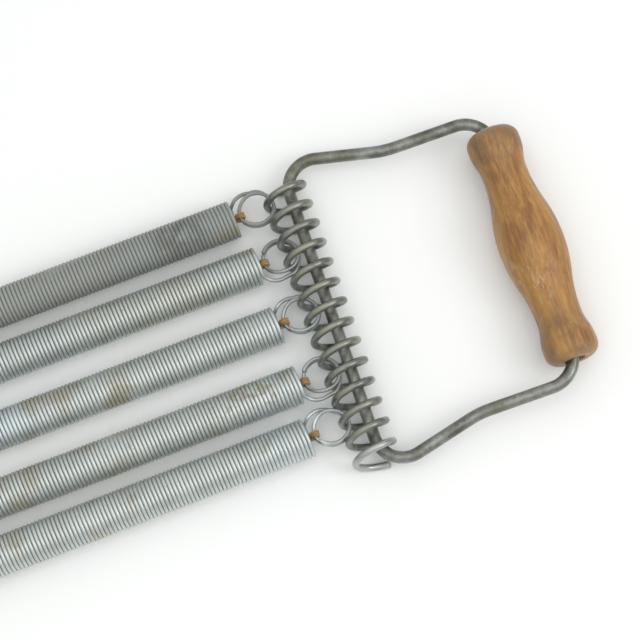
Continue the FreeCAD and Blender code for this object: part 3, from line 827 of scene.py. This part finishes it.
# Points of the smooth curve for each point given
SMOOTH_STEPS = 3


def eased(value, start, end):
    """Smooth step from 0 at start to 1 at end."""
    share = np.clip((value - start) / (end - start), 0, 1)
    return share**2 * (3 - 2 * share)


def coil_length(number):
    return OUTER_COIL if number in OUTER_SPRINGS else INNER_COIL


def spring_axis(number):
    """Middle of a spring and the direction of its axis."""
    right_place = RING_PLACES[number - 1]
    left_place = RING_PLACES[-number]
    span = coil_length(number) + 2 * RING_OFFSET
    rise = (2 * BAR[1] + right_place + left_place) / span
    middle = np.array((0, (right_place - left_place) / 2, SPRING_HEIGHT))
    return middle, np.array((math.sqrt(1 - rise**2), rise, 0))


def roll_of(number):
    return RING_ROLL + (180 if number in ROLLED_SPRINGS else 0)


def rolled(points, degrees):
    """Points turned about the spring's own X."""
    cos, sin = math.cos(math.radians(degrees)), math.sin(math.radians(degrees))
    turned = np.array(points, float)
    turned[:, 1] = points[:, 1] * cos - points[:, 2] * sin
    turned[:, 2] = points[:, 1] * sin + points[:, 2] * cos
    return turned


def in_place(points, number):
    """From a spring's own frame to the object's."""
    middle, axis = spring_axis(number)
    across = np.array((-axis[1], axis[0], 0))
    return middle + np.outer(points[:, 0], axis) + np.outer(points[:, 1], across) + points[:, 2:] * (0, 0, 1)


def coil_point(x, degrees):
    """Point of a turn, in the spring's own frame."""
    turn = math.radians(degrees)
    return (x, TURN_RADIUS * math.cos(turn), TURN_RADIUS * math.sin(turn))


def ring_line(number):
    """Wire from the last turn of the coil, out and round the end ring to its free end, before the roll."""
    end = coil_length(number) / 2
    last = end - SPRING_WIRE / 2
    lead = [coil_point(last - EXIT_BACK, -COIL_EXIT - EXIT_BACK_TURN), coil_point(last, -COIL_EXIT)]
    lead += [(end + past, TURN_RADIUS + out, height) for past, out, height in RING_LEAD]
    degrees = np.append(np.arange(RING_START, RING_END + RING_STEP / 2, -RING_STEP), RING_END)
    comes_in_from, comes_in_to = COMES_IN[number]
    radius = RING_RADIUS + (OUTER_PASS - RING_RADIUS) * eased(degrees, comes_in_to, comes_in_from)
    upwards = -RING_CLIMB if number in ROLLED_SPRINGS else RING_CLIMB
    climb = upwards * eased(degrees, CLIMB_FROM, CLIMB_TO)
    turn = np.radians(degrees)
    ring = np.column_stack((end + RING_OFFSET + radius * np.cos(turn), radius * np.sin(turn), climb))
    return smooth_line(np.vstack((lead, ring)), SMOOTH_STEPS)[SMOOTH_STEPS:]


def spring_line(number):
    """The whole wire, in the spring's own frame: left ring, close-wound coil, right ring."""
    length, roll = coil_length(number), roll_of(number)
    right_end = rolled(ring_line(number), roll)
    left_end = (right_end * HALF_TURN)[::-1]
    first, last = 180 + COIL_EXIT - roll, -COIL_EXIT + roll
    reach = length / 2 - SPRING_WIRE / 2
    whole_turns = math.floor((2 * reach / SPRING_WIRE) - (last - first) / 360)
    sweep = whole_turns * 360 + last - first
    count = round(sweep / 360 * POINTS_PER_SPRING_TURN)
    turn = np.radians(first + sweep * np.arange(1, count) / count)
    x = -reach + 2 * reach * np.arange(1, count) / count
    coil = np.column_stack((x, TURN_RADIUS * np.cos(turn), TURN_RADIUS * np.sin(turn)))
    return np.vstack((left_end, coil, right_end))


def stretches_with_springs(piece):
    """Bakes the piece's placement into its mesh and reads its points into an array that nothing uses."""
    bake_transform(piece)
    place = np.empty(len(piece.data.vertices) * 3, np.float32)
    piece.data.vertices.foreach_get("co", place)


def make_springs(material):
    for number in SPRING_NUMBERS:
        middle, axis = spring_axis(number)
        half = coil_length(number) / 2
        line = in_place(spring_line(number), number)
        piece = swept(
            f"spring_{number}_wire",
            line,
            SPRING_WIRE / 2 - TURN_CLEARANCE,
            SPRING_SIDES,
            material,
            axis=(middle, axis, half),
        )
        stands_for(piece, f"spring_{number}", None)
        stretches_with_springs(piece)


# ---------------------------------------------------------------- safety cords

CORD_DIAMETER = 2.4
KNOT_CORD = 1.4
CORD_BUNDLE = 12.4
CORD_STRAIGHT = 9.0
CORD_TURNS, POINTS_PER_CORD_TURN = 36, 24
CORD_SIDES = 12
# How fast the loose coil opens from its ends, per turn, and the points left off where the cord goes straight
COIL_OPENING, COIL_TRIM = 0.8, 6
# The turns are uneven: by how much of their radius, and how fast that changes along the spring
SLOW_UNEVEN, SLOW_RATE = 0.07, 23.0
FAST_UNEVEN, FAST_RATE = 0.05, 61.0
# Cord from inside the spring to the ring's near wire: before that wire, across, and height
KNOT_LEAD = ((9.5, 0.2, 0.0), (6.0, -0.3, -0.4), (3.2, -1.1, -1.0))
KNOT_WRAPS, WRAP_START, WRAP_STEP = 2.5, 215, 30
KNOT_HALF_WIDTH, KNOT_CLEARANCE = 1.25, 0.06
# The knot's last turn crosses back over its wraps: how high it rises, its step in degrees, how far along its
# rise it starts, and from where to where it goes across, in shares of the knot's half width
KNOT_CROSSING, CROSSING_STEP, CROSSING_RISE_FROM = 0.75, 40, 0.3
CROSSING_FROM, CROSSING_TO = 0.5, -0.3
KNOT_SMOOTH_STEPS = 4
# Points over which the cord gets slimmer towards the knot, and how many of them are the knot's own
KNOT_TAPER, KNOT_MARGIN = 10, 8


def knot_line(length):
    """Cord from the spring's inside, wound round the ring's near wire, crossed over itself and tucked."""
    ring_x = length / 2 + RING_OFFSET - RING_RADIUS
    wound = SPRING_WIRE / 2 + KNOT_CORD / 2 + KNOT_CLEARANCE
    points = [(ring_x - before, across, height) for before, across, height in KNOT_LEAD]
    wraps = np.radians(np.arange(WRAP_START, WRAP_START + KNOT_WRAPS * 360, WRAP_STEP))
    for share, angle in zip(np.linspace(-1, 1, len(wraps)), wraps):
        points.append((ring_x + wound * math.cos(angle), KNOT_HALF_WIDTH * share, wound * math.sin(angle)))
    crossing = wraps[-1] + np.radians(np.arange(CROSSING_STEP, 361, CROSSING_STEP))
    rise = KNOT_CROSSING * np.sin(np.linspace(CROSSING_RISE_FROM, math.pi, len(crossing)))
    shares = np.linspace(CROSSING_FROM, CROSSING_TO, len(crossing))
    for share, reach, angle in zip(shares, wound + rise, crossing):
        points.append((ring_x + reach * math.cos(angle), KNOT_HALF_WIDTH * share, reach * math.sin(angle)))
    return smooth_line(points, KNOT_SMOOTH_STEPS)


def loose_coil(number):
    """The spare cord inside a spring, in coils of uneven size that open and close at its two ends."""
    reach = coil_length(number) / 2 - CORD_STRAIGHT
    share = np.linspace(0, 1, CORD_TURNS * POINTS_PER_CORD_TURN)
    turn = share * CORD_TURNS * 2 * math.pi
    swell = np.clip(np.minimum(share, 1 - share) * CORD_TURNS * COIL_OPENING, 0, 1)
    slow = SLOW_UNEVEN * (1 + np.sin(share * SLOW_RATE))
    fast = FAST_UNEVEN * (1 + np.sin(share * FAST_RATE + number))
    radius = (CORD_BUNDLE - CORD_DIAMETER) / 2 * swell * (1 - slow - fast)
    coil = np.column_stack((-reach + 2 * reach * share, radius * np.cos(turn), radius * np.sin(turn)))
    return coil[COIL_TRIM:-COIL_TRIM]


def cord_line(number):
    """The whole cord and its radii: knot, straight, loose coil, straight, knot."""
    right = rolled(knot_line(coil_length(number)), roll_of(number))
    left = (right * HALF_TURN)[::-1]
    line = np.vstack((left, loose_coil(number), right))
    knot = len(right) - KNOT_MARGIN
    half = np.full(len(line), CORD_DIAMETER / 2)
    half[:knot] = KNOT_CORD / 2
    half[knot : knot + KNOT_TAPER] = np.linspace(CORD_DIAMETER / 2, KNOT_CORD / 2, KNOT_TAPER)[::-1]
    return line, np.minimum(half, half[::-1])


def make_cords(material):
    for number in SPRING_NUMBERS:
        line, radii = cord_line(number)
        piece = swept(f"safety_cord_{number}_strand", in_place(line, number), radii, CORD_SIDES, material)
        stands_for(piece, f"safety_cord_{number}", None)
        stretches_with_springs(piece)


# ---------------------------------------------------------------- scene

make_camera()
make_floor()
make_surroundings()
make_light()
make_bows(bow_steel())
wood = grip_wood()
for grip_side in SIDES:
    make_grip(grip_side, wood)
make_anchors(coil_steel())
make_springs(spring_steel())
make_cords(cord_fibre())
